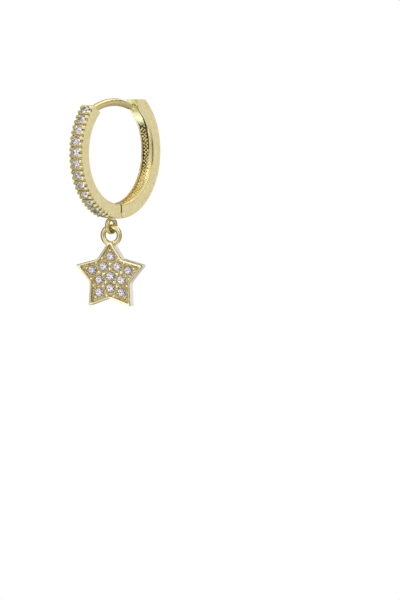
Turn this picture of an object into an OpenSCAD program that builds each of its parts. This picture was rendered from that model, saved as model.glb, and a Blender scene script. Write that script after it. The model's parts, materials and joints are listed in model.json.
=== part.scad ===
// Hoop charm earring: a hinged hoop with a row of set stones and a hanging star charm.
// X runs across the band, -Y is the front of the hoop, +Z is up, all in millimetres.
// The origin is the top of the ear wire, on its centre line, where the earring hangs.

/* [Hoop band] */
// Outside diameter of the hoop
hoop_d = 14; // [12.5:0.1:17]
// Depth of the band from its outer face to its inner face
band_t = 1.54; // [1.45:0.01:1.9]
// Width of the band from side to side
band_w = 1.54; // [1.5:0.01:1.7]
// Rounding of the outer edges
outer_round = 0.12; // [0.06:0.01:0.16]
// Rounding of the inner edges
inner_round = 0.22; // [0.1:0.01:0.25]

/* [Front half] */
// Angle at which the inner face ends, counted from the back over the top
front_end_angle = 130; // [124:1:136]
// Lean of the end face away from a radial cut
front_end_lean = 18; // [8:1:24]

/* [Back half] */
// Angle at which the inner face ends, counted from the back
back_end_angle = 53.2; // [50:0.1:58]
// Height of the end face's steeper lower part
end_step = 0.5; // [0.3:0.05:0.6]
// Lean of the lower part of the end face
lower_lean = 9; // [4:1:15]
// Lean of the upper part of the end face
upper_lean = 29; // [20:1:35]
// Height of the end face's upper part, up to the flat top
end_rise = 0.65; // [0.4:0.01:0.7]
// Thickness of the channel's two side walls
channel_wall = 0.27; // [0.2:0.01:0.3]
// Greatest depth of the channel
channel_depth = 0.3; // [0.2:0.01:0.4]
// Angle at which the channel is deepest, counted from the back
deep_angle = -45; // [-60:1:-30]
// Angle at which the channel runs out in the inner face, counted from the back
channel_top_angle = 42; // [35:1:45]
// Width of the seam groove along the channel's right side
seam_w = 0.08; // [0.06:0.01:0.09]
// Depth of that groove
seam_depth = 0.2; // [0.1:0.01:0.25]

/* [Row of stones] */
// Diameter of the stones in the hoop
row_stone_d = 0.96; // [0.85:0.01:1]
// Gap between two neighbouring stones
row_gap = 0.256; // [0.2:0.002:0.4]
// Metal between the first stone and the front half's end
row_margin = 0.16; // [0.1:0.01:0.3]
// Angle that the row of stones stays within, counted from the back over the top
row_limit_angle = 250; // [230:1:252]
// Diameter of the beads that hold the stones
row_bead_d = 0.33; // [0.28:0.01:0.34]
// Diameter of the scallops cut in the edges between the beads
scallop_d = 0.3; // [0.2:0.01:0.32]
// Depth of the scallops below the outer face
scallop_depth = 0.27; // [0.15:0.01:0.32]
// Distance of the stones' girdles below the outer face
row_sink = 0.03; // [0:0.01:0.08]

/* [Hinge] */
// Distance of the hinge pin from the split and from the outer face
pin_inset = 0.5; // [0.46:0.01:0.6]
// Diameter of the hinge pin
pin_d = 0.36; // [0.3:0.01:0.4]
// Width of the front half's hinge tongue
tongue_w = 0.5; // [0.4:0.02:0.56]
// Metal round the pin's hole in the tongue
tongue_wall = 0.19; // [0.14:0.01:0.2]
// Opening angle of the hinge
open_angle = 45; // [30:5:45]
// Gap between the two halves at the hinge
hinge_gap = 0.05; // [0.03:0.01:0.08]
// Width of the slit between the two halves above the hinge
slit_w = 0.24; // [0.1:0.01:0.26]
// Depth of that slit from the inner face
slit_depth = 0.95; // [0.6:0.05:0.95]
// Metal between the hinge slot and the channel
block_wall = 0.3; // [0.2:0.05:0.5]

/* [Ear wire] */
// Diameter of the ear wire
wire_d = 0.8; // [0.7:0.05:0.9]
// Radius of the ear wire's bow
wire_bow_r = 9.3; // [8:0.1:12]
// Distance of the wire's root from the inner edge of the front half's end face
wire_inset = 0.61; // [0.5:0.01:0.75]
// Height of the wire above the inner edge of the back half's end face
wire_seat = 0.19; // [0.1:0.01:0.25]
// Diameter of the wire's thinner tip
tip_d = 0.64; // [0.56:0.02:0.7]
// Length of the straight tip
tip_len = 1.3; // [1:0.1:1.6]
// Part of the tip that is inside the back half
tip_reach = 0.4; // [0.3:0.05:0.5]
// Length of the cone between the wire and its thinner tip
taper_len = 0.4; // [0.2:0.05:0.5]
// Distance from the wire's top to the start of the flat on the tip
flat_start = 0.6; // [0.5:0.02:0.8]

/* [Loops] */
// Wire diameter of the loop under the hoop
hoop_loop_wire = 0.48; // [0.4:0.01:0.52]
// Hole diameter of the loop under the hoop
hoop_loop_bore = 0.93; // [0.9:0.01:1.2]
// Angle of the loop under the hoop, counted from the back over the top
hoop_loop_angle = 264.4; // [262:0.1:266]
// Depth to which that loop is soldered into the band
loop_sink = 0.19; // [0.1:0.01:0.23]
// Wire diameter of the star's loop
star_loop_wire = 0.56; // [0.45:0.01:0.58]
// Hole diameter of the star's loop
star_loop_bore = 1.22; // [1.15:0.01:1.5]

/* [Star charm] */
// Distance from the star's middle to its unrounded points
star_r = 3.88; // [3.7:0.01:4.4]
// Distance from the star's middle to its unrounded notches
notch_r = 2.27; // [2.2:0.01:2.5]
// Rounding of the points
point_round = 0.1; // [0.05:0.01:0.15]
// Rounding of the notches
notch_round = 0.4; // [0.2:0.05:0.5]
// Thickness of the star
star_t = 1.25; // [1.1:0.05:1.5]
// Width of the raised rim
rim_w = 0.24; // [0.2:0.01:0.34]
// Depth of the field inside the rim
field_depth = 0.24; // [0.15:0.01:0.3]
// Distance from the loop's middle down to the star's unrounded top point
point_drop = 0.44; // [0.35:0.01:0.6]
// Turn of the star to the right, from facing the front
star_turn = 20; // [0:1:22]
// Diameter of the star's stones
star_stone_d = 0.93; // [0.85:0.01:0.95]
// Distance from the middle to the five inner stones
inner_ring_r = 1.26; // [1.2:0.01:1.3]
// Distance from the middle to the five outer stones
outer_ring_r = 2.1; // [2.08:0.01:2.15]
// Diameter of the beads between the stones
star_bead_d = 0.38; // [0.3:0.01:0.42]
// Diameter of the small beads beside the rim
rim_bead_d = 0.3; // [0.2:0.01:0.32]

/* [Cut of the stones] */
// Width of the table as a share of the stone's diameter
table_share = 0.56; // [0.5:0.01:0.62]
// Height of the crown as a share of the stone's diameter
crown_share = 0.15; // [0.12:0.01:0.17]
// Height of the girdle as a share of the stone's diameter
girdle_share = 0.03; // [0.02:0.01:0.04]
// Depth of the pavilion as a share of the stone's diameter
pavilion_share = 0.43; // [0.4:0.01:0.45]

/* [Clearances] */
// Gap between a stone and its seat
stone_gap = 0.02; // [0.01:0.005:0.03]
// Gap between a stone and the beads that hold it
bead_gap = 0.015; // [0.01:0.005:0.03]
// Gap round the pin in the tongue, and between the tongue and its slot
running_gap = 0.03; // [0.02:0.005:0.05]
// Gap round the pin where it sits in the back half
pin_seat_gap = 0.01; // [0.005:0.005:0.02]
// Gap between the wire's tip and the catch that takes it
tip_gap = 0.06; // [0.04:0.01:0.08]
// Gap between the two loops where one hangs on the other
link_gap = 0.04; // [0.02:0.01:0.06]

/* [Hidden] */
ring_fn = 96;
small_fn = 32;
round_steps = 4;
corner_steps = 8;
reach = 3 * hoop_d;

outer_r = hoop_d / 2;
inner_r = outer_r - band_t;
degrees_per_mm = 180 / (PI * outer_r);

function polar(r, a) = [r * cos(a), r * sin(a)];
function unit(v) = v / norm(v);

// End face of the front half: its inner corner, direction and outer corner
front_inner = polar(inner_r, front_end_angle);
front_out = polar(1, front_end_angle + front_end_lean);
front_along = inner_r * cos(front_end_lean);
front_face = sqrt(front_along * front_along + outer_r * outer_r - inner_r * inner_r) - front_along;
front_outer = front_inner + front_face * front_out;
front_outer_angle = atan2(front_outer[1], front_outer[0]);

// End face of the back half, from its inner corner over the step to the flat top
back_inner = polar(inner_r, back_end_angle);
back_step = back_inner + end_step * [-tan(lower_lean), 1];
back_top = back_step + end_rise * [-tan(upper_lean), 1];

// Channel in the back half: a round floor whose middle is off the hoop's middle
channel_w = band_w - 2 * channel_wall;
deep_r = inner_r + channel_depth;
top_turn = channel_top_angle - deep_angle;
floor_shift = (deep_r * deep_r - inner_r * inner_r) / (2 * deep_r - 2 * inner_r * cos(top_turn));
floor_r = deep_r - floor_shift;
seam_x = (channel_w + seam_w) / 2;

// Hinge: the pin's place, its tongue and slot
pin_at = [pin_inset, -(outer_r - pin_inset)];
tongue_r = pin_d / 2 + running_gap + tongue_wall;
slot_r = tongue_r + running_gap;
slot_w = tongue_w + 2 * running_gap;
corner_r = pin_inset - hinge_gap / 2;
slit_z = -(inner_r + slit_depth);
channel_end = pin_inset + slot_r + block_wall;

// Ear wire: an arc through its root and its seat, then a straight tip
wire_root = front_inner + wire_inset * front_out;
wire_seat_at = back_inner + [0, wire_seat];
wire_chord = wire_seat_at - wire_root;
wire_drop = sqrt(wire_bow_r * wire_bow_r - wire_chord * wire_chord / 4);
wire_mid = (wire_root + wire_seat_at) / 2 + wire_drop * unit([wire_chord[1], -wire_chord[0]]);
wire_top = wire_mid + [0, wire_bow_r];
root_angle = atan2(wire_root[1] - wire_mid[1], wire_root[0] - wire_mid[0]);
seat_angle = atan2(wire_seat_at[1] - wire_mid[1], wire_seat_at[0] - wire_mid[0]);
root_depth = 0.6;
root_turn = root_depth / wire_bow_r * 180 / PI;
tip_turn = (tip_len - tip_reach) / wire_bow_r * 180 / PI;
tip_angle = seat_angle + tip_turn;
catch_w = tip_d + 2 * tip_gap;
flat_at = wire_top + [flat_start, wire_d / 2 - flat_start * flat_start / (2 * wire_bow_r)];
tip_overlap = 0.05;
tip_step = 0.02;

// Loops and the line that the star swings about
hoop_loop_r = (hoop_loop_bore + hoop_loop_wire) / 2;
hoop_loop_at = polar(outer_r + hoop_loop_r + hoop_loop_wire / 2 - loop_sink, hoop_loop_angle);
swing_at = hoop_loop_at - [0, hoop_loop_r];
star_loop_r = (star_loop_bore + star_loop_wire) / 2;
star_loop_drop = star_loop_bore / 2 - hoop_loop_wire / 2 - link_gap;
star_drop = star_loop_drop + point_drop + star_r;

// Star outline: the distance of its edges from the middle sets the rim and the field
star_edge = notch_r * polar(1, 36) - [star_r, 0];
edge_along = unit(star_edge);
edge_out = [edge_along[1], -edge_along[0]];
edge_distance = star_r * edge_out[0];
field_share = (edge_distance - rim_w) / edge_distance;
field_z = star_t / 2 - field_depth;

// Row of stones: the angles follow from the stones' size and gap
row_pitch = (row_stone_d + row_gap) * degrees_per_mm;
row_first = front_outer_angle + (row_stone_d / 2 + row_margin) * degrees_per_mm;
row_count = floor((row_limit_angle - row_first) / row_pitch) + 1;
row_bead_along = (row_stone_d + row_gap) / 4;
row_bead_away = (row_stone_d + row_bead_d) / 2 + bead_gap;
row_bead_side = sqrt(row_bead_away * row_bead_away - row_bead_along * row_bead_along);
scallop_r = outer_r - scallop_depth + scallop_d / 2;
girdle_r = outer_r - row_sink;

points_of_star = 5;
star_count = 1 + 2 * points_of_star;
function numbered(name, i) = str(name, i < 10 ? "0" : "", i);
hoop_stone_names = [for (i = [1 : row_count]) numbered("hoop_stone_", i)];
star_stone_names = [for (i = [1 : star_count]) numbered("star_stone_", i)];

gold = [0.86, 0.78, 0.52];
clear_stone = [0.86, 0.84, 0.92];

// Places what is drawn in Y and Z, with its thickness along X, in the hoop's plane
module in_hoop_plane() {
    translate([0, -wire_top[0], -wire_top[1]]) rotate([90, 0, 90]) children();
}

// Places what is drawn face up round the swing line, with its top towards +Y, as the star hangs
module in_star_plane() {
    translate([0, swing_at[0] - wire_top[0], swing_at[1] - wire_top[1]])
        rotate([90, 0, star_turn]) children();
}

// A flat piece of the given thickness, centred on the drawing's plane
module plate(thickness) {
    linear_extrude(height = thickness, center = true) children();
}

// A ring of round wire in the drawing's plane
module wire_ring(mean_r, wire) {
    rotate_extrude($fn = ring_fn) translate([mean_r, 0]) circle(d = wire, $fn = small_fn);
}

// Points of a rounded corner at c, from angle a over a quarter turn
function quarter(c, r, a) = [for (i = [0 : round_steps]) c + polar(r, a + 90 * i / round_steps)];

// Points of the arc that rounds the corner p between the points q and s
function rounded(q, p, s, r) =
    let (u = unit(q - p), v = unit(s - p), half = acos(u * v) / 2)
    let (c = p + unit(u + v) * r / sin(half), from = p + u * r / tan(half) - c, to = p + v * r / tan(half) - c)
    let (a = atan2(from[1], from[0]), turn = atan2(from[0] * to[1] - from[1] * to[0], from * to))
    [for (i = [0 : round_steps]) c + polar(r, a + turn * i / round_steps)];

// Band of both halves: a ring with rounded edges, over the whole turn
module band_ring() {
    half = band_w / 2;
    inner = inner_r + inner_round;
    outer = outer_r - outer_round;
    rotate_extrude($fn = ring_fn) polygon(concat(
        quarter([outer, half - outer_round], outer_round, 0),
        quarter([inner, half - inner_round], inner_round, 90),
        quarter([inner, inner_round - half], inner_round, 180),
        quarter([outer, outer_round - half], outer_round, 270)
    ));
}

// Outline of a five-pointed star whose points are at +Y and every fifth of a turn
function star_corner(k, tip_r, dent_r) = polar(k % 2 == 0 ? tip_r : dent_r, 90 + 36 * k);
function star_outline(share, tip_round, dent_round) = [
    for (k = [0 : 2 * points_of_star - 1])
        each rounded(
            star_corner(k + 2 * points_of_star - 1, star_r * share, notch_r * share),
            star_corner(k, star_r * share, notch_r * share),
            star_corner(k + 1, star_r * share, notch_r * share),
            k % 2 == 0 ? tip_round : dent_round)
];

// A brilliant-cut stone of diameter d, its girdle round the origin and its table towards +Z
cut_sides = 8;
cut_turn = 360 / cut_sides;
kite_reach = 0.8;
low_reach = 0.3;
function cut_ring(r, z, turn, count) = [for (i = [0 : count - 1]) concat(polar(r, turn + 360 / count * i), [z])];
function cut_points(r) =
    let (top = girdle_share * r, table = top + 2 * crown_share * r, culet = -top - 2 * pavilion_share * r)
    let (kite = (kite_reach * cos(cut_turn / 2) - table_share) / (1 - table_share))
    let (low = 1 - low_reach * cos(cut_turn / 2))
    concat(
        cut_ring(table_share * r, table, 0, cut_sides),
        cut_ring(kite_reach * r, table - kite * (table - top), cut_turn / 2, cut_sides),
        cut_ring(r, top, 0, 2 * cut_sides),
        cut_ring(r, -top, 0, 2 * cut_sides),
        cut_ring(low_reach * r, -top + low * (culet + top), cut_turn / 2, cut_sides),
        [[0, 0, culet]]);
first_kite = cut_sides;
first_top = 2 * cut_sides;
first_low = 4 * cut_sides;
first_deep = 6 * cut_sides;
culet_point = 7 * cut_sides;
function side(i) = (i + cut_sides) % cut_sides;
function edge(i) = i % (2 * cut_sides);
cut_faces = concat(
    [[for (i = [cut_sides - 1 : -1 : 0]) i]],
    [for (i = [0 : cut_sides - 1]) [i, side(i + 1), first_kite + i]],
    [for (i = [0 : cut_sides - 1]) [i, first_kite + i, first_top + 2 * i, first_kite + side(i - 1)]],
    [for (i = [0 : cut_sides - 1]) [first_kite + i, first_top + 2 * i + 1, first_top + 2 * i]],
    [for (i = [0 : cut_sides - 1]) [first_kite + i, first_top + edge(2 * i + 2), first_top + 2 * i + 1]],
    [for (i = [0 : 2 * cut_sides - 1])
        [first_top + i, first_top + edge(i + 1), first_low + edge(i + 1), first_low + i]],
    [for (i = [0 : cut_sides - 1]) [first_low + 2 * i, first_low + 2 * i + 1, first_deep + i]],
    [for (i = [0 : cut_sides - 1]) [first_low + 2 * i + 1, first_low + edge(2 * i + 2), first_deep + i]],
    [for (i = [0 : cut_sides - 1]) [first_low + 2 * i, first_deep + i, culet_point, first_deep + side(i - 1)]]
);
module cut_stone(d) {
    color(clear_stone) polyhedron(points = cut_points(d / 2), faces = cut_faces);
}

// The seat of such a stone: a drilled hole over a cone, both a gap wider than the stone
module stone_seat(d) {
    r = d / 2 + stone_gap;
    below = girdle_share * d / 2 + stone_gap;
    deep = pavilion_share * d + 2 * stone_gap;
    translate([0, 0, -below]) cylinder(h = d, r = r, $fn = small_fn);
    translate([0, 0, -below - deep]) cylinder(h = deep, r1 = stone_gap, r2 = r, $fn = small_fn);
}

// Places things along the hoop's outer face at an angle, with +Z pointing outwards
module on_band(r, angle) {
    rotate([0, 0, angle]) translate([r, 0, 0]) rotate([0, 90, 0]) children();
}

// Beads on both sides of each stone, two to a side, fused into the band's edges
module row_beads() {
    for (i = [0 : row_count - 1], along = [-1, 1], across = [-1, 1])
        on_band(outer_r, row_first + row_pitch * i + along * row_pitch / 4)
            translate([across * row_bead_side, 0, 0]) sphere(d = row_bead_d, $fn = small_fn);
}

// Cuts across the band's outer edges between the beads
module row_scallops() {
    for (i = [0 : 2 * row_count - 2])
        rotate([0, 0, row_first + row_pitch / 2 * i]) translate([scallop_r, 0, 0])
            cylinder(d = scallop_d, h = 2 * band_w, center = true, $fn = small_fn);
}

// Outline of the front half's part of the ring, with its lean end face and the slit at the split
module front_side() {
    far_in = front_inner - band_t * front_out;
    far_out = front_outer + band_t * front_out;
    polygon([
        [-hinge_gap / 2, -reach], [-hinge_gap / 2, slit_z], [-slit_w / 2, slit_z], [-slit_w / 2, 0],
        far_in, far_out, [-reach, far_out[1]], [-reach, -reach]
    ]);
}

// Outline of the back half's part of the ring, with a corner rounded about the hinge pin,
// a stepped end face and a flat top
module back_side() {
    corner = [for (i = [0 : corner_steps]) pin_at + polar(corner_r, 270 - 90 * i / corner_steps)];
    polygon(concat(
        [[pin_at[0], -reach]], corner, [[hinge_gap / 2, slit_z], [slit_w / 2, slit_z], [slit_w / 2, 0]],
        [[back_inner[0], 0], back_inner, back_step, back_top, [reach, back_top[1]], [reach, -reach]]
    ));
}

// Tongue of the front half that turns on the hinge pin inside the back half
module hinge_tongue() {
    difference() {
        plate(tongue_w) {
            translate(pin_at) circle(r = tongue_r, $fn = small_fn);
            translate([-pin_inset, pin_at[1] - tongue_r]) square([2 * pin_inset, 2 * tongue_r]);
        }
        translate(pin_at) cylinder(r = pin_d / 2 + running_gap, h = band_w, center = true, $fn = small_fn);
    }
}

// Room for the tongue in the back half, from closed to fully open
module tongue_slot() {
    translate(pin_at) plate(slot_w) {
        circle(r = slot_r, $fn = small_fn);
        translate([-hoop_d / 4, -hoop_d / 4]) square([hoop_d / 4, hoop_d / 4 + slot_r]);
        rotate(open_angle) translate([-hoop_d / 4, -slot_r]) square([hoop_d / 4, 2 * slot_r]);
    }
}

// Ear wire with its straight, tapered tip and the flat along the tip's upper side
module ear_wire() {
    difference() {
        union() {
            translate(wire_mid) rotate([0, 0, tip_angle])
                rotate_extrude(angle = root_angle + root_turn - tip_angle, $fn = ring_fn)
                    translate([wire_bow_r, 0]) circle(d = wire_d, $fn = small_fn);
            translate(wire_mid) rotate([0, 0, tip_angle]) translate([wire_bow_r, 0, 0]) rotate([90, 0, 0])
                wire_tip();
        }
        translate(flat_at) rotate([0, 0, tip_angle - 90]) translate([0, 0, -wire_d])
            cube([wire_bow_r, wire_d, 2 * wire_d]);
    }
}

// Straight end of the ear wire: a cone that starts inside the wire, the thinner tip and its round end
module wire_tip() {
    translate([0, 0, -tip_overlap])
        cylinder(h = taper_len + tip_overlap, d1 = wire_d - tip_step, d2 = tip_d, $fn = small_fn);
    translate([0, 0, taper_len]) cylinder(h = tip_len - taper_len - tip_d / 2, d = tip_d, $fn = small_fn);
    translate([0, 0, tip_len - tip_d / 2]) sphere(d = tip_d, $fn = small_fn);
}

// Front half: the band with its row of seats and beads, and soldered on, the ear wire and a loop
module front_hoop() {
    color(gold) in_hoop_plane() {
        difference() {
            intersection() {
                band_ring();
                plate(2 * band_w) front_side();
            }
            row_scallops();
            for (i = [0 : row_count - 1])
                on_band(girdle_r, row_first + row_pitch * i) stone_seat(row_stone_d);
        }
        row_beads();
        hinge_tongue();
        ear_wire();
        translate(hoop_loop_at) wire_ring(hoop_loop_r, hoop_loop_wire);
    }
}

// Channel in the inner face, with the seam groove along its right side up to the end face
module channel() {
    intersection() {
        union() {
            translate(polar(floor_shift, deep_angle)) cylinder(r = floor_r, h = channel_w, center = true, $fn = ring_fn);
            translate([0, 0, seam_x - seam_w / 2])
                cylinder(r = inner_r + seam_depth, h = seam_w, center = true, $fn = ring_fn);
        }
        plate(band_w) translate([channel_end, -reach]) square([reach, 2 * reach]);
    }
}

// Catch for the wire's tip: a notch along the tip, open to the inside
module catch() {
    translate(wire_seat_at) rotate([0, 0, tip_angle - 90]) plate(catch_w)
        translate([-band_t, -band_t]) square([band_t + tip_reach + tip_gap, band_t + tip_d / 2 + tip_gap]);
}

// Back half: the band with a channel and the catch in its inner face, and the slot and hole of the hinge
module back_hoop() {
    color(gold) in_hoop_plane() difference() {
        intersection() {
            band_ring();
            plate(2 * band_w) back_side();
        }
        channel();
        catch();
        tongue_slot();
        translate(pin_at) cylinder(r = pin_d / 2 + pin_seat_gap, h = 2 * band_w, center = true, $fn = small_fn);
    }
}

// Pin that both halves turn on, level with the band's sides
module hinge_pin() {
    color(gold) in_hoop_plane() translate(pin_at) cylinder(d = pin_d, h = band_w, center = true, $fn = small_fn);
}

// Places of the star's stones: the middle, five towards the notches and five in the points
inner_places = [for (k = [0 : points_of_star - 1]) polar(inner_ring_r, 54 + 72 * k)];
outer_places = [for (k = [0 : points_of_star - 1]) polar(outer_ring_r, 90 + 72 * k)];
star_places = concat([[0, 0]], inner_places, outer_places);

// Places of the star's beads, each an equal way from the stones that it holds
inner_bead_r = inner_ring_r / (2 * cos(36));
middle_bead_r = (outer_ring_r * outer_ring_r - inner_ring_r * inner_ring_r)
    / (2 * (outer_ring_r - inner_ring_r * cos(36)));
tip_bead_r = outer_ring_r + (star_stone_d + rim_bead_d) / 2 + bead_gap;
rim_bead_along = (polar(inner_ring_r, 36) + [outer_ring_r, 0]) * edge_along / 2;
rim_bead_out = edge_distance - rim_w - rim_bead_d / 3;
rim_bead_at = rim_bead_along * edge_along + rim_bead_out * edge_out;

// Beads of one of the star's five points, drawn with that point towards +X
module point_beads() {
    for (r = [inner_bead_r, middle_bead_r])
        translate([r, 0, 0]) sphere(d = star_bead_d, $fn = small_fn);
    translate([tip_bead_r, 0, 0]) sphere(d = rim_bead_d, $fn = small_fn);
    for (flip = [-1, 1])
        translate([rim_bead_at[0], flip * rim_bead_at[1], 0]) sphere(d = rim_bead_d, $fn = small_fn);
}

// Star: a plate with a raised rim, seats and beads, cast in one with its loop
module star_charm() {
    color(gold) in_star_plane() {
        translate([0, -star_drop, 0]) {
            difference() {
                plate(star_t) polygon(star_outline(1, point_round, notch_round));
                translate([0, 0, field_z]) linear_extrude(height = star_t)
                    polygon(star_outline(field_share, point_round / 2, notch_round + rim_w));
                for (p = star_places)
                    translate([p[0], p[1], field_z]) stone_seat(star_stone_d);
                translate([0, star_drop - star_loop_drop, 0])
                    cylinder(r = star_loop_r - star_loop_wire / 4, h = 2 * star_t, center = true, $fn = ring_fn);
            }
            for (k = [0 : points_of_star - 1])
                rotate([0, 0, 90 + 72 * k]) translate([0, 0, field_z]) point_beads();
        }
        translate([0, -star_loop_drop, 0]) wire_ring(star_loop_r, star_loop_wire);
    }
}

// One stone of the hoop's row, counted from the ear wire down
module hoop_stone(i) {
    in_hoop_plane() on_band(girdle_r, row_first + row_pitch * (i - 1)) cut_stone(row_stone_d);
}

// One stone of the star, counted from the middle outwards
module star_stone(i) {
    place = star_places[i - 1];
    in_star_plane() translate([place[0], place[1] - star_drop, field_z]) cut_stone(star_stone_d);
}

front_hoop();
back_hoop();
hinge_pin();
star_charm();
for (i = [1 : row_count])
    hoop_stone(i);
for (i = [1 : star_count])
    star_stone(i);
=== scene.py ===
# Hoop charm earring: finishes, fine details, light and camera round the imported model
import bpy, json, math, random
from mathutils import Matrix, Vector


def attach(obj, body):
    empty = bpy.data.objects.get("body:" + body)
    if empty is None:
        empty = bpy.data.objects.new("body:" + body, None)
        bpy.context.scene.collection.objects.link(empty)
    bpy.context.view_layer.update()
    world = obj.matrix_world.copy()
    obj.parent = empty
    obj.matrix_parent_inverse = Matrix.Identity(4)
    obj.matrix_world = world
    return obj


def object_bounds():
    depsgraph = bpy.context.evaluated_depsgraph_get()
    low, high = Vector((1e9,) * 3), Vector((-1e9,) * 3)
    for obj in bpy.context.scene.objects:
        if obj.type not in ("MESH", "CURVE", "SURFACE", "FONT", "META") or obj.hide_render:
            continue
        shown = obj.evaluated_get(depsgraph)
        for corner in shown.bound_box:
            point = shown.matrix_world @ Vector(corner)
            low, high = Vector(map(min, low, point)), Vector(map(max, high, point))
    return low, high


mm = 0.001
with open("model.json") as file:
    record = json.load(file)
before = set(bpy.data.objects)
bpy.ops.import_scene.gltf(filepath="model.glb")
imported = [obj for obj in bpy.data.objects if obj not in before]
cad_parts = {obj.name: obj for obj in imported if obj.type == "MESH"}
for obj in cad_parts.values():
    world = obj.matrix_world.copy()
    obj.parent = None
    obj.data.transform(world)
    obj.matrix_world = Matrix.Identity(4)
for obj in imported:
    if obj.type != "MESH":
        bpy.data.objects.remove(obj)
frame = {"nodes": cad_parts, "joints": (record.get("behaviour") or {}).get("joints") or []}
cadLow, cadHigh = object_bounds()
nodes = frame["nodes"]
joints = {joint["name"]: joint for joint in frame["joints"]}
print("frame loaded:", len(nodes), "nodes")

# the hoop's middle follows from the hinge pin, which lies this far in from the hoop's lowest face
# and from the split between the halves
hoop = {"outsideRadius": 7.0 * mm, "pinInset": 0.5 * mm}
pinAt = Vector(joints["hoop_hinge"]["pos_m"])
hoopMiddle = pinAt + Vector((0, -hoop["pinInset"], hoop["outsideRadius"] - hoop["pinInset"]))
swingAt = Vector(joints["star_swing"]["pos_m"])


class Value:  # a shader socket that takes part in sums
    def __init__(self, shader, socket):
        self.shader, self.socket = shader, socket

    def math(self, operation, first, *others):
        return self.shader.node("Math", {"operation": operation}, dict(enumerate([first, *others])))

    def __add__(self, other):
        return self.math("ADD", self, other)

    def __sub__(self, other):
        return self.math("SUBTRACT", self, other)

    def __rsub__(self, other):
        return self.math("SUBTRACT", other, self)

    def __mul__(self, other):
        return self.math("MULTIPLY", self, other)

    def __truediv__(self, other):
        return self.math("DIVIDE", self, other)

    def __abs__(self):
        return self.math("ABSOLUTE", self)

    __radd__, __rmul__ = __add__, __mul__


class Shader:  # one material's or world's nodes
    def __init__(self, tree):
        self.tree = tree
        tree.nodes.clear()

    # adds one node of that kind and gives its output: settings first, then what its sockets hold
    def node(self, kind, settings=None, values=None, output=0):
        made = self.tree.nodes.new("ShaderNode" + kind)
        for name, setting in (settings or {}).items():
            if name == "stops":
                bar = made.color_ramp
                while len(bar.elements) < len(setting):
                    bar.elements.new(0.5)
                for element, (place, colour) in zip(bar.elements, setting):
                    element.position, element.color = place, (*colour, 1)
            else:
                setattr(made, name, setting)
        for name, value in (values or {}).items():
            if isinstance(value, Value):
                self.tree.links.new(value.socket, made.inputs[name])
            else:
                made.inputs[name].default_value = value
        return Value(self, made.outputs[output]) if len(made.outputs) else None

    def blend(self, factor, first, second):  # of two colours, each a value or red, green and blue
        first, second = [c if isinstance(c, Value) else (*c, 1) for c in (first, second)]
        return self.node("Mix", {"data_type": "RGBA"}, {0: factor, 6: first, 7: second}, 2)

    def step(self, value, low, high):  # 0 below low, 1 above high, soft between them
        ends = {"Value": value, "From Min": low, "From Max": high}
        return self.node("MapRange", {"interpolation_type": "SMOOTHSTEP"}, ends)

    def noise(self, place, size, detail, stretch=None):
        if stretch:
            place = self.node("Mapping", {}, {"Vector": place, "Scale": stretch})
        return self.node("TexNoise", {}, {"Vector": place, "Scale": 1 / size, "Detail": detail})


def material(name, viewColour):
    made = bpy.data.materials.new(name)
    made.use_nodes = True
    made.diffuse_color = (*viewColour, 1)
    return made, Shader(made.node_tree)


def surface(shader, values):
    shader.node("OutputMaterial", {}, {"Surface": shader.node("BsdfPrincipled", {}, values)})


# what all the gold has in common: its colours, the sizes of its patterns and how strong they are
gold = {
    "colour": (0.84, 0.74, 0.40), "deep": (0.66, 0.50, 0.16), "pale": (0.95, 0.90, 0.70),
    "grain": 0.035 * mm, "satin": 0.13 * mm, "cloud": 0.9 * mm, "dent": 0.15 * mm, "polish": 0.15,
    "fine": 3, "plain": 1,  # detail of the noise
    "satinStretch": (1.0, 0.3, 0.3),  # drawn out along the band
    "cloudFade": (0.35, 0.7), "paleFade": (0.5, 0.75), "paleShare": 0.35,
    "deepFade": (0.5, 0.25), "deepShare": 0.2, "satinHeight": 2, "coatSmooths": 1.5,
    "roughSpread": 0.1, "sunkFade": (0.2, 0.5), "sunkRough": 0.1, "sunkHeight": 3,
    "bevelRays": 6, "bump": 0.5,
}
metals = {
    "front_gold": {"rough": 0.33, "grain": 0.8, "clouded": 0.15, "dents": 0.0, "edge": 0.035 * mm},
    "back_gold": {"rough": 0.33, "grain": 0.8, "clouded": 0.15, "dents": 0.0, "edge": 0.03 * mm},
    "bright_gold": {"rough": 0.18, "grain": 0.3, "clouded": 0.25, "dents": 0.4, "edge": 0.03 * mm},
    "star_gold": {"rough": 0.16, "grain": 0.3, "clouded": 0.3, "dents": 0.5, "edge": 0.14 * mm},
    "grained_gold": {"rough": 0.2, "grain": 0.3, "clouded": 1.0, "dents": 0.5, "edge": 0.01 * mm},
}


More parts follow.
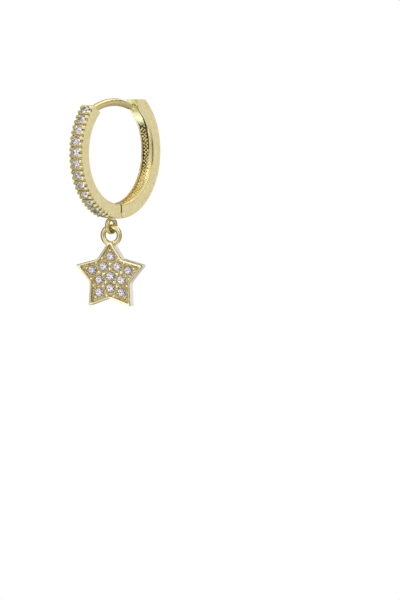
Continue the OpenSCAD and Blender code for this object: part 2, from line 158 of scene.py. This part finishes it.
# coats (finishes, and painted highlights and shade) and sunk grounds (painted shade and light in
# hollows, and some tone) each have a mask, which gives their share at a place, and their colour
def goldMaterial(name, coatsAndPaintedLight=(), sunkToneLightShade=()):
    metal = metals[name]
    made, shader = material(name, gold["colour"])
    at = shader.node("TexCoord", output="Object")
    grain = shader.noise(at, gold["grain"], gold["fine"])
    satin = shader.noise(at, gold["satin"], gold["fine"], gold["satinStretch"])
    cloud = shader.noise(at, gold["cloud"], gold["fine"])
    dents = shader.noise(at, gold["dent"], gold["plain"])
    clouds = shader.step(cloud, *gold["cloudFade"]) * metal["clouded"]
    tint = shader.blend(clouds, gold["colour"], gold["deep"])
    pale = shader.step(satin, *gold["paleFade"]) * gold["paleShare"]
    tint = shader.blend(pale, tint, gold["pale"])
    deep = shader.step(satin, *gold["deepFade"]) * gold["deepShare"]
    tint = shader.blend(deep, tint, gold["deep"])
    height = (grain + satin * gold["satinHeight"]) * metal["grain"] + dents * metal["dents"]
    rough = cloud * gold["roughSpread"] + (metal["rough"] - gold["roughSpread"] / 2)
    for mask, colour, coatRoughness in coatsAndPaintedLight:
        share = mask(shader, at)
        tint = shader.blend(share, tint, colour)
        rough = rough + share * (coatRoughness - rough)
        height = height - share * satin * gold["coatSmooths"] * metal["grain"]
    for mask, colour in sunkToneLightShade:
        share = mask(shader, at)
        tint = shader.blend(share * shader.step(dents, *gold["sunkFade"]), tint, colour)
        rough = rough + share * gold["sunkRough"]
        height = height + share * dents * gold["sunkHeight"]
    normal = shader.node("Bevel", {"samples": gold["bevelRays"]}, {"Radius": metal["edge"]})
    bump = {"Strength": gold["bump"], "Distance": gold["grain"], "Height": height, "Normal": normal}
    surface(shader, {
        "Base Color": tint, "Metallic": 1.0, "Roughness": rough,
        "Normal": shader.node("Bump", {}, bump),
    })
    return made


def along(shader, at, origin, way):  # how far a place lies from origin in that direction
    reach = shader.node("VectorMath", {"operation": "DOT_PRODUCT"}, {0: at, 1: way}, 1)
    return reach - origin.dot(way)


def facingTo(shader, way):
    facing = shader.node("NewGeometry", output="Normal")
    return shader.node("VectorMath", {"operation": "DOT_PRODUCT"}, {0: facing, 1: way}, 1)


def hoopRadius(shader, at):  # how far a place lies from the hoop's axis
    moved = shader.node("VectorMath", {"operation": "SUBTRACT"}, {0: at, 1: hoopMiddle})
    flat = shader.node("VectorMath", {"operation": "MULTIPLY"}, {0: moved, 1: (0, 1, 1)})
    return shader.node("VectorMath", {"operation": "LENGTH"}, {0: flat}, 1)


# a place's distance from the hoop's middle: across the band, to the back and up
def hoopAcross(shader, at):
    return along(shader, at, hoopMiddle, Vector((1, 0, 0)))


def hoopBack(shader, at):
    return along(shader, at, hoopMiddle, Vector((0, 1, 0)))


def hoopHeight(shader, at):
    return along(shader, at, hoopMiddle, Vector((0, 0, 1)))


# The masks below fade between two values, so most of their settings are pairs: radii and heights
# from the hoop's middle, places across the band, or the share in which a face points some way.

# where the ear wire leaves the front half's end face, in the hoop's plane; the wire's tint is a
# painted dark reflection on its polish, and its tip's tint is a painted glare
wire = {
    "root": (0, -3.51 * mm, 4.18 * mm), "way": (0, 0.53, 0.848), "start": (0.0, 0.06 * mm),
    "tint": (0.62, 0.525, 0.225), "tipBack": (2.35 * mm, 2.65 * mm),
    "tipHeight": (3.0 * mm, 3.3 * mm), "tipGlare": (1.0, 0.95, 0.62), "tipRough": 0.4,
}


# painted dark reflection: the polished ear wire is painted darker than the rest of the gold
def earWirePolishAndDarkReflection(shader, at):
    root = hoopMiddle + Vector(wire["root"])
    return shader.step(along(shader, at, root, Vector(wire["way"])), *wire["start"])


def wireTipGlare(shader, at):  # painted highlight: the tip is painted pale where the back half takes it, a painted glare
    tip = shader.step(hoopBack(shader, at), *wire["tipBack"])
    return tip * shader.step(hoopHeight(shader, at), *wire["tipHeight"])


# the loop under the hoop: sideWay lies level and points to the right of the photo's view
underLoop = {
    "radius": (7.1 * mm, 7.2 * mm), "tint": (0.80, 0.68, 0.31), "sidePaintedLight": (0.30, 0.24, 0.06),
    "sideWay": (0.808, 0.589, 0), "sideFade": (0.35, 0.75),
}


def loopMetal(shader, at):
    return shader.step(hoopRadius(shader, at), *underLoop["radius"])


def paintedSideShade(shader):  # painted shade: both loops are painted darker at their edges, where they face sideways
    return shader.step(abs(facingTo(shader, underLoop["sideWay"])), *underLoop["sideFade"])


def loopSideShade(shader, at):
    return loopMetal(shader, at) * paintedSideShade(shader)


row = {
    "cutLight": (0.90, 0.78, 0.42), "groundFrom": (6.4 * mm, 6.5 * mm),
    "groundTo": (6.9 * mm, 6.98 * mm), "groundSides": (0.7, 0.9),
    "face": (0.70, 0.58, 0.20), "faceFrom": (6.8 * mm, 6.83 * mm),
    "faceTo": (7.01 * mm, 7.04 * mm), "faceSides": (0.3, 0.5),
    "beads": (1.0, 0.95, 0.66), "beadsFrom": (6.99 * mm, 7.03 * mm), "beadRough": 0.14,
    "left": (0.52, 0.47, 0.13), "leftAcross": (-0.47 * mm, -0.42 * mm),
    "leftFrom": (6.8 * mm, 6.85 * mm), "leftRough": 0.3,
}


def rowCutLight(shader, at):  # painted light: the cuts between the beads of the row are painted lighter, lifting their shade
    radius = hoopRadius(shader, at)
    cutLight = shader.step(radius, *row["groundFrom"])
    cutLight = cutLight * (1 - shader.step(radius, *row["groundTo"]))
    return cutLight * (1 - shader.step(abs(facingTo(shader, (1, 0, 0))), *row["groundSides"]))


def rowFaceShade(shader, at):  # painted shade: the narrow faces between the beads and the stones are painted darker
    radius = hoopRadius(shader, at)
    face = shader.step(radius, *row["faceFrom"])
    face = face * (1 - shader.step(radius, *row["faceTo"]))
    return face * (1 - shader.step(abs(facingTo(shader, (1, 0, 0))), *row["faceSides"]))


def rowBeadsPolishAndHighlight(shader, at):  # the beads stand out of the band's outer face and are polished, and are painted paler as a painted highlight
    return shader.step(hoopRadius(shader, at), *row["beadsFrom"])


def rowLeftShade(shader, at):  # painted shade: the left line of beads is painted darker
    left = 1 - shader.step(hoopAcross(shader, at), *row["leftAcross"])
    return left * shader.step(hoopRadius(shader, at), *row["leftFrom"])


# the back half's inner face and its channel, where a painted shadow line crosses the floor
inside = {
    "face": (5.67 * mm, 5.73 * mm), "tint": (0.85, 0.74, 0.38),
    "topHighlight": (1.0, 0.98, 0.62), "topHeight": (1.5 * mm, 3.2 * mm), "topRough": 0.35,
    "topAcross": (0.52 * mm, 0.56 * mm),
    "rimHighlight": (0.97, 0.87, 0.50), "rimAcross": (0.54 * mm, 0.58 * mm),
    "rimHeight": (1.6 * mm, 3.1 * mm), "rimRough": 0.33,
    "endWay": (0, -0.6, 0.8), "endFade": (0.6, 0.9), "endHeight": (4.0 * mm, 4.3 * mm),
    "endRough": 0.6,
    "notchAcross": (0.48 * mm, 0.5 * mm), "notchHeight": (3.6 * mm, 3.9 * mm),
    "notchRadius": (6.85 * mm, 6.9 * mm),
    "floorRadius": (5.465 * mm, 5.48 * mm), "deepest": (6.2 * mm, 6.25 * mm),
    "floorAcross": (0.49 * mm, 0.51 * mm), "floorTop": (2.6 * mm, 3.4 * mm),
    "lineRise": 0.11, "lineAt": 0.15 * mm, "linePast": (0, 0.03 * mm),
    "lineWidth": (-0.16 * mm, -0.13 * mm), "lineHeight": (-3.0 * mm, -2.4 * mm),
    "grooveLeft": (0.47 * mm, 0.5 * mm), "grooveRight": (0.59 * mm, 0.6 * mm),
    "grooveLow": (2.0 * mm, 2.5 * mm), "grooveHigh": (4.85 * mm, 4.95 * mm),
    "edgeAcross": (0.7 * mm, 0.73 * mm), "edgeMiddle": 0.1 * mm,
    "edgeHeight": (1.1 * mm, 1.6 * mm), "edgeShare": 0.8,
    "paintedShadow": (0.07, 0.05, 0.02), "warm": (0.76, 0.61, 0.28), "warmHeight": (-2.6 * mm, -1.2 * mm),
    "wavesHeight": (-1.6 * mm, -1.0 * mm), "wavesShare": 0.5,
    "shade": (0.30, 0.27, 0.10), "shadeAcross": (-0.52 * mm, -0.5 * mm),
    "shadeHeight": (0.5 * mm, 0.9 * mm), "shadeShare": 0.8,
}


def innerFace(shader, at):
    return 1 - shader.step(hoopRadius(shader, at), *inside["face"])


# painted highlight: the end face is painted pale
def endFaceHighlight(shader, at):
    facing = shader.step(facingTo(shader, inside["endWay"]), *inside["endFade"])
    return facing * shader.step(hoopHeight(shader, at), *inside["endHeight"])


def notchWallsHighlight(shader, at):  # painted highlight: the notch that takes the wire's tip is painted as pale as the end face
    walls = 1 - shader.step(abs(hoopAcross(shader, at)), *inside["notchAcross"])
    walls = walls * shader.step(hoopHeight(shader, at), *inside["notchHeight"])
    return walls * (1 - shader.step(hoopRadius(shader, at), *inside["notchRadius"]))


def innerTopHighlight(shader, at):  # painted highlight: the upper part of the inner face is painted paler
    face = innerFace(shader, at) * shader.step(hoopHeight(shader, at), *inside["topHeight"])
    face = face * (1 - shader.step(hoopAcross(shader, at), *inside["topAcross"]))
    return face * (1 - endFaceHighlight(shader, at))


def upperRimSatinAndHighlight(shader, at):  # the right rim's upper part has the side face's satin, and is painted paler as a painted highlight
    right = shader.step(hoopAcross(shader, at), *inside["rimAcross"])
    upper = shader.step(hoopHeight(shader, at), *inside["rimHeight"])
    return innerFace(shader, at) * right * upper


def channelFloor(shader, at):
    radius = hoopRadius(shader, at)
    floor = shader.step(radius, *inside["floorRadius"])
    floor = floor * (1 - shader.step(radius, *inside["deepest"]))
    return floor * (1 - shader.step(abs(hoopAcross(shader, at)), *inside["floorAcross"]))


def pastLine(shader, at):  # how far right of the painted shadow line, which leans with the height
    return hoopAcross(shader, at) - hoopHeight(shader, at) * inside["lineRise"] - inside["lineAt"]


def leftFloor(shader, at):  # the floor up to the painted shadow line's right side
    return channelFloor(shader, at) * (1 - shader.step(pastLine(shader, at), *inside["linePast"]))


def lowWavesPaintedReflection(shader, at):  # the lower part of the rims and of the floor right of the line is wavy: bumped, with darker patches as painted reflections
    low = 1 - shader.step(hoopHeight(shader, at), *inside["wavesHeight"])
    return innerFace(shader, at) * low * (1 - leftFloor(shader, at)) * inside["wavesShare"]


def leftShade(shader, at):  # the left rim's darker middle
    left = 1 - shader.step(hoopAcross(shader, at), *inside["shadeAcross"])
    middle = 1 - shader.step(abs(hoopHeight(shader, at)), *inside["shadeHeight"])
    return innerFace(shader, at) * left * middle * inside["shadeShare"]


def warmFloor(shader, at):
    return leftFloor(shader, at) * (1 - shader.step(hoopHeight(shader, at), *inside["warmHeight"]))


# painted shade: the floor's middle, between its warm lower part and its top, is painted dark
def floorPaintedShade(shader, at):
    height = hoopHeight(shader, at)
    floor = leftFloor(shader, at) * shader.step(height, *inside["warmHeight"])
    return floor * (1 - shader.step(height, *inside["floorTop"]))


def paintedShadowLine(shader, at):  # painted shadow and painted reflection: the line on the floor, the right wall's groove and part of the right edge are painted dark
    across, height = hoopAcross(shader, at), hoopHeight(shader, at)
    line = leftFloor(shader, at) * shader.step(pastLine(shader, at), *inside["lineWidth"])
    line = line * shader.step(height, *inside["lineHeight"])
    groove = shader.step(across, *inside["grooveLeft"])
    groove = groove * (1 - shader.step(across, *inside["grooveRight"]))
    groove = groove * shader.step(height, *inside["grooveLow"])
    groove = groove * (1 - shader.step(height, *inside["grooveHigh"]))
    edge = innerFace(shader, at) * shader.step(across, *inside["edgeAcross"])
    offMiddle = abs(height + inside["edgeMiddle"])
    edge = edge * (1 - shader.step(offMiddle, *inside["edgeHeight"])) * inside["edgeShare"]
    both = line + (groove + edge) * (1 - line)
    return both * (1 - shader.step(hoopRadius(shader, at), *inside["deepest"]))


# rimTop and fieldTop count from the star's middle plane, fieldFrom, fieldTo and topsFrom from the
# field, edgeFrom from the rim's top, and loopEnd down from the swing's axis
star = {
    "normal": Vector(joints["star_swing"]["axis"]).normalized(),
    "rimTop": 0.625 * mm, "fieldTop": 0.385 * mm, "loopEnd": (1.3 * mm, 1.4 * mm),
    "field": (0.52, 0.42, 0.15), "fieldFrom": (-0.05 * mm, -0.02 * mm),
    "fieldTo": (0.03 * mm, 0.08 * mm), "fieldFade": (0.5, 0.8),
    "topsHighlight": (0.97, 0.90, 0.58), "topsFrom": (0.08 * mm, 0.12 * mm), "topRough": 0.14,
    "fleck": (0.52, 0.33, 0.12), "fleckSize": 0.3 * mm, "fleckFade": (0.52, 0.62),
    "edge": 0.25 * mm, "edgeShade": (0.18, 0.12, 0.03), "edgeFrom": (-0.05 * mm, -0.02 * mm),
    "leans": ((-0.62, -0.23, 0.75), (0.94, 0.34, 0.0)), "leanFade": (0.04, 0.22), "edgeRough": 0.3,
    "sidePaintedLight": (0.80, 0.76, 0.62), "sideFade": (0.5, 0.2), "sideRough": 0.35,
    "loopSideShade": (0.30, 0.24, 0.06), "backFade": (0.9, 0.95),
}
starFront = star["normal"] if star["normal"].y < 0 else -star["normal"]


def belowLoop(shader, at):  # the star without its loop
    return shader.step(along(shader, at, swingAt, Vector((0, 0, -1))), *star["loopEnd"])


# painted sheen: the star's sides are painted pale grey
def starSidesSheen(shader, at):
    facing = shader.step(abs(facingTo(shader, starFront)), *star["sideFade"])
    return facing * belowLoop(shader, at)


def starBack(shader, at):
    return shader.step(facingTo(shader, -starFront), *star["backFade"])


# painted shade on the edges of the star's loop
def starLoopSideShade(shader, at):
    return paintedSideShade(shader) * (1 - belowLoop(shader, at))


def starEdgeShade(shader, at):  # painted shade: the rim's rounded edges are painted darker where they lean up and left, or right
    rounded = shader.node("Bevel", {"samples": gold["bevelRays"]}, {"Radius": star["edge"]})
    both = 0
    for way in star["leans"]:
        lean = shader.node("VectorMath", {"operation": "DOT_PRODUCT"}, {0: rounded, 1: way}, 1)
        both = shader.step(lean, *star["leanFade"]) + both
    aboveRim = along(shader, at, swingAt, starFront) - star["rimTop"]
    return both * shader.step(aboveRim, *star["edgeFrom"]) * belowLoop(shader, at)


def aboveField(shader, at):
    return along(shader, at, swingAt, starFront) - star["fieldTop"]


def starFieldShade(shader, at):  # painted shade: the sunk field between the stones is painted darker
    height = aboveField(shader, at)
    field = shader.step(height, *star["fieldFrom"]) * (1 - shader.step(height, *star["fieldTo"]))
    return field * shader.step(facingTo(shader, starFront), *star["fieldFade"])


def starTopsPolishAndHighlight(shader, at):  # what stands above the field, the rim and the beads, is polished and painted bright as a painted highlight
    return shader.step(aboveField(shader, at), *star["topsFrom"])


def starFlecks(shader, at):
    flecks = shader.noise(at, star["fleckSize"], gold["plain"])
    return starFieldShade(shader, at) * shader.step(flecks, *star["fleckFade"])


# painted reflections: each facet draws a number from 0 to 1, and takes the last tint whose fade
# lies below it, so facets are painted in lilac, blue, rose and dark ink as reflections and fire
stone = {
    "clear": (1.0, 0.99, 1.0), "bend": 2.16, "rough": 0.02, "facetStep": 0.1,
    "facetReflections": (
        {"fade": (0.45, 0.48), "colour": (0.96, 0.89, 0.99)},  # lilac
        {"fade": (0.58, 0.6), "colour": (0.78, 0.85, 0.93)},  # blue
        {"fade": (0.7, 0.72), "colour": (1.0, 0.84, 0.89)},  # rose
        {"fade": (0.9, 0.92), "colour": (0.14, 0.14, 0.26)},  # ink
    ),
}


def stoneMaterial():
    made, shader = material("clear_stone", stone["clear"])
    facing = shader.node("NewGeometry", output="Normal")
    size = (stone["facetStep"],) * 3
    snapped = shader.node("VectorMath", {"operation": "SNAP"}, {0: facing, 1: size})
    chance = shader.node("TexWhiteNoise", {"noise_dimensions": "3D"}, {"Vector": snapped})
    tint = stone["clear"]
    for facet in stone["facetReflections"]:
        tint = shader.blend(shader.step(chance, *facet["fade"]), tint, facet["colour"])
    surface(shader, {
        "Base Color": tint, "Roughness": stone["rough"], "Transmission Weight": 1.0,
        "IOR": stone["bend"],
    })
    return made


def giveMaterial(piece, made):
    piece.data.materials.clear()
    piece.data.materials.append(made)


frontCoatsAndLight = (
    (rowBeadsPolishAndHighlight, row["beads"], row["beadRough"]),
    (earWirePolishAndDarkReflection, wire["tint"], gold["polish"]), (wireTipGlare, wire["tipGlare"], wire["tipRough"]),
    (loopMetal, underLoop["tint"], gold["polish"]), (rowLeftShade, row["left"], row["leftRough"]),
    (loopSideShade, underLoop["sidePaintedLight"], gold["polish"]),
)
frontSunkLightAndShade = ((rowCutLight, row["cutLight"]), (rowFaceShade, row["face"]))
backCoatsAndLight = (
    (innerFace, inside["tint"], gold["polish"]), (innerTopHighlight, inside["topHighlight"], inside["topRough"]),
    (upperRimSatinAndHighlight, inside["rimHighlight"], inside["rimRough"]),
    (endFaceHighlight, inside["topHighlight"], inside["endRough"]),
    (notchWallsHighlight, inside["topHighlight"], inside["endRough"]),
)
backSunkToneAndShade = (
    (warmFloor, inside["warm"]), (floorPaintedShade, inside["paintedShadow"]), (paintedShadowLine, inside["paintedShadow"]),
    (lowWavesPaintedReflection, gold["deep"]), (leftShade, inside["shade"]),
)
starCoatsAndLight = (
    (starTopsPolishAndHighlight, star["topsHighlight"], star["topRough"]), (starSidesSheen, star["sidePaintedLight"], star["sideRough"]),
    (starLoopSideShade, star["loopSideShade"], gold["polish"]),
    (starEdgeShade, star["edgeShade"], star["edgeRough"]), (starBack, gold["colour"], star["sideRough"]),
)
starSunkToneAndShade = ((starFieldShade, star["field"]), (starFlecks, star["fleck"]))
frontGold = goldMaterial("front_gold", frontCoatsAndLight, frontSunkLightAndShade)
backGold = goldMaterial("back_gold", backCoatsAndLight, backSunkToneAndShade)
brightGold = goldMaterial("bright_gold")
starGold = goldMaterial("star_gold", starCoatsAndLight, starSunkToneAndShade)
grainGold = goldMaterial("grained_gold")
clearStone = stoneMaterial()
finishes = {
    "front_hoop": frontGold, "back_hoop": backGold, "hinge_pin": brightGold, "star_charm": starGold,
}
for name, piece in nodes.items():
    giveMaterial(piece, finishes.get(name, clearStone))
print("finishes given")


# a round bead is cut off below and flattened, and each copy has its own size
bead = {"rounds": 2, "flattened": 0.8, "sizes": (0.8, 1.1)}
# the round floor of the back half's channel, in the hoop's plane: Y towards the back, Z up
channel = {
    "middle": 0.3165 * mm, "turn": -45.0, "floorRadius": 5.4434 * mm,
    "firstAngle": -73.0, "lastAngle": 34.0, "bead": 0.27 * mm, "pitch": 0.38 * mm,
    "rows": (-0.38 * mm, -0.16 * mm, 0.06 * mm), "sink": 0.03 * mm, "unevenness": 0.035 * mm,
    "seed": 4,
}
# small grains stand in the ends of the cuts between the row's beads, two cuts to a stone
grains = {
    "size": 0.24 * mm, "across": 0.64 * mm, "radius": 6.83 * mm, "sink": 0.05 * mm, "seed": 9,
}


def beadStart(size, sink):
    bpy.ops.object.select_all(action="DESELECT")
    bpy.ops.mesh.primitive_ico_sphere_add(
        subdivisions=bead["rounds"], radius=size / 2, location=(0, 0, 0))
    made = bpy.context.object
    bpy.ops.object.mode_set(mode="EDIT")
    bpy.ops.mesh.select_all(action="SELECT")
    bpy.ops.mesh.bisect(
        plane_co=(0, 0, -sink), plane_no=(0, 0, 1), use_fill=True, clear_inner=True)
    bpy.ops.mesh.select_all(action="SELECT")
    bpy.ops.transform.resize(value=(1.0, 1.0, bead["flattened"]))
    bpy.ops.object.mode_set(mode="OBJECT")
    return made


# sets a copy of the start at each place, with its round side that way, and joins them as one piece
def layBeads(name, start, places, chance):
    copies = []
    for at, way in places:
        copy = start.copy()
        copy.data = start.data.copy()
        bpy.context.collection.objects.link(copy)
        turned = way.to_track_quat("Z", "X").to_matrix().to_4x4()
        sized = Matrix.Scale(chance.uniform(*bead["sizes"]), 4)
        copy.data.transform(Matrix.Translation(at) @ turned @ sized)
        copies.append(copy)
    bpy.ops.object.select_all(action="DESELECT")
    for copy in copies:
        copy.select_set(True)
    bpy.context.view_layer.objects.active = copies[0]
    bpy.ops.object.join()
    beads = bpy.context.object
    beads.name = name
    bpy.ops.object.shade_smooth()
    bpy.data.objects.remove(start)
    giveMaterial(beads, grainGold)
    print(name + ":", len(copies))
    return beads


def makeChannelBeads():
    chance = random.Random(channel["seed"])
    turn = math.radians(channel["turn"])
    middle = hoopMiddle + Vector((0, math.cos(turn), math.sin(turn))) * channel["middle"]
    pitch = channel["pitch"] / channel["floorRadius"]
    count = int(math.radians(channel["lastAngle"] - channel["firstAngle"]) / pitch)
    places = []
    for line, across in enumerate(channel["rows"]):
        for i in range(count):
            angle = math.radians(channel["firstAngle"]) + (i + line % 2 / 2) * pitch
            out = Vector((0, math.cos(angle), math.sin(angle)))
            shift = Vector([chance.uniform(-1, 1) * channel["unevenness"] for _ in range(3)])
            shift -= out * shift.dot(out)
            at = middle + out * channel["floorRadius"] + Vector((across, 0, 0)) + shift
            places.append((at, -out))
    start = beadStart(channel["bead"], channel["sink"])
    beads = layBeads("channel_beads", start, places, chance)
    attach(beads, "back_half")


def stoneAngles():  # the angles of the row's stones round the hoop, from the ear wire down
    angles = []
    for name in sorted(name for name in nodes if name.startswith("hoop_stone")):
        corners = [nodes[name].matrix_world @ corner.co for corner in nodes[name].data.vertices]
        middle = sum(corners, Vector()) / len(corners) - hoopMiddle
        angles.append(math.atan2(middle.z, middle.y) % (2 * math.pi))
    return angles


def makeRowGrains():
    angles = stoneAngles()
    halfPitch = (angles[-1] - angles[0]) / (len(angles) - 1) / 2
    places = []
    for i in range(2 * len(angles) - 1):
        angle = angles[0] + i * halfPitch
        out = Vector((0, math.cos(angle), math.sin(angle)))
        for side in (-1, 1):
            aside = Vector((side * grains["across"], 0, 0))
            places.append((hoopMiddle + out * grains["radius"] + aside, out))
    start = beadStart(grains["size"], grains["sink"])
    beads = layBeads("row_grains", start, places, random.Random(grains["seed"]))
    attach(beads, "front_half")


makeChannelBeads()
makeRowGrains()

lamps = {
    "keyLamp": {"azimuth": -30, "elevation": 42, "distance": 160, "size": 35, "level": 7},
    "sideLamp": {"azimuth": 75, "elevation": 35, "distance": 160, "size": 30, "level": 5},
    "backLamp": {"azimuth": 170, "elevation": 50, "distance": 160, "size": 50, "level": 3},
    "lowLamp": {"azimuth": -10, "elevation": -35, "distance": 160, "size": 40, "level": 3},
}


def towards(azimuth, elevation):
    turn, lift = math.radians(azimuth), math.radians(elevation)
    level = math.cos(lift)
    return Vector((math.sin(turn) * level, -math.cos(turn) * level, math.sin(lift)))


def makeLamps():
    for name, lamp in lamps.items():
        way = towards(lamp["azimuth"], lamp["elevation"])
        bpy.ops.object.light_add(type="AREA", location=hoopMiddle + way * lamp["distance"] * mm)
        made = bpy.context.object
        made.name = name
        made.data.size = lamp["size"] * mm
        made.data.energy = lamp["level"] * math.pi * made.data.size ** 2
        made.rotation_euler = way.to_track_quat("Z", "Y").to_euler()


# the tent that the metal mirrors: its level by elevation, then upright cards, most of them dark
tent = {
    "levels": ((-90, 0.8), (-40, 0.7), (-15, 0.75), (0, 1.05), (30, 1.0), (90, 1.2)),
    "cards": (
        {"azimuth": 36.9, "half": 9, "low": -30, "high": 30, "level": 0.02},
        {"azimuth": -136, "half": 20, "low": -55, "high": 28, "level": 0.25},
        {"azimuth": -78, "half": 12, "low": -28, "high": 55, "level": 0.04},
        {"azimuth": 160, "half": 18, "low": 14, "high": 42, "level": 0.3},
        {"azimuth": 65, "half": 7, "low": -22, "high": 8, "level": 0.05},
        {"azimuth": 118, "half": 9, "low": -16, "high": 10, "level": 0.03},
        {"azimuth": 5, "half": 10, "low": -20, "high": 30, "level": 1.15},
        {"azimuth": -75, "half": 40, "low": -75, "high": -34, "level": 1.2},
        {"azimuth": 0, "half": 60, "low": 55, "high": 70, "level": 0.3},
        {"azimuth": -37, "half": 8, "low": -15, "high": 10, "level": 0.4},
    ),
    "softness": 4, "brightest": 2,  # a ramp's colours go up to 1, so its levels are a share of this
}


def makeWorld():
    world = bpy.data.worlds.new("tent")
    world.use_nodes = True
    bpy.context.scene.world = world
    shader = Shader(world.node_tree)
    way = shader.node("TexCoord", output="Generated")
    x, y, z = [shader.node("SeparateXYZ", {}, {0: way}, i) for i in range(3)]
    azimuth = shader.node("Math", {"operation": "ARCTAN2"}, {0: x, 1: 0 - y}) * math.degrees(1)
    elevation = shader.node("Math", {"operation": "ARCSINE"}, {0: z}) * math.degrees(1)
    brightest, soft = tent["brightest"], tent["softness"]
    stops = [((angle + 90) / 180, (level / brightest,) * 3) for angle, level in tent["levels"]]
    level = shader.node("ValToRGB", {"stops": stops}, {0: (elevation + 90) / 180}) * brightest
    for card in tent["cards"]:
        turned = azimuth - card["azimuth"]
        away = abs(shader.node("Math", {"operation": "WRAP"}, {0: turned, 1: -180, 2: 180}))
        shade = 1 - shader.step(away, card["half"] - soft, card["half"] + soft)
        shade = shade * shader.step(elevation, card["low"] - soft, card["low"] + soft)
        shade = shade * (1 - shader.step(elevation, card["high"] - soft, card["high"] + soft))
        level = level + shade * (card["level"] - level)
    mirrored = shader.node("Background", {}, {"Color": level, "Strength": 1.0})
    plain = shader.node("Background", {}, {"Color": (1, 1, 1, 1), "Strength": 1.0})
    seen = shader.node("LightPath", output="Is Camera Ray")
    both = shader.node("MixShader", {}, {0: seen, 1: mirrored, 2: plain})
    shader.node("OutputWorld", {}, {"Surface": both})


floor = {"size": 3.0, "below": 12 * mm}


def makeFloor():
    bpy.ops.object.select_all(action="DESELECT")
    bpy.ops.mesh.primitive_plane_add(
        size=floor["size"], location=(0, 0, cadLow.z - floor["below"]))
    made = bpy.context.object
    made.name = "studioFloor"
    paper, shader = material("white_paper", (1, 1, 1))
    glow = shader.node("Emission", {}, {"Color": (1, 1, 1, 1), "Strength": 1.0})
    shader.node("OutputMaterial", {}, {"Surface": glow})
    giveMaterial(made, paper)
    made.visible_glossy = made.visible_diffuse = False
    made.visible_transmission = made.visible_shadow = False


# the photo's angle and framing: the hoop's middle falls on this pixel of the 400 by 600 image
view = {
    "azimuth": 36.1, "elevation": 3.4, "lens": 300, "frameWidth": 400, "frameHeight": 600,
    "hoopPixel": (115.5, 152.1), "pixel": 0.1055 * mm, "nearest": 0.01, "farthest": 10,
}


def makeCamera():
    back = towards(view["azimuth"], view["elevation"])
    right = Vector((0, 0, 1)).cross(back).normalized()
    up = back.cross(right)
    across = (view["frameWidth"] / 2 - view["hoopPixel"][0]) * view["pixel"]
    down = (view["frameHeight"] / 2 - view["hoopPixel"][1]) * view["pixel"]
    bpy.ops.object.camera_add()
    camera = bpy.context.object
    camera.data.lens = view["lens"]
    distance = view["frameHeight"] * view["pixel"] * view["lens"] / camera.data.sensor_width
    camera.data.clip_start, camera.data.clip_end = view["nearest"], view["farthest"]
    camera.location = hoopMiddle + right * across - up * down + back * distance
    camera.rotation_euler = back.to_track_quat("Z", "Y").to_euler()
    bpy.context.scene.camera = camera


makeLamps()
makeWorld()
makeFloor()
makeCamera()
bpy.context.scene.view_settings.view_transform = "Standard"
print("studio made")
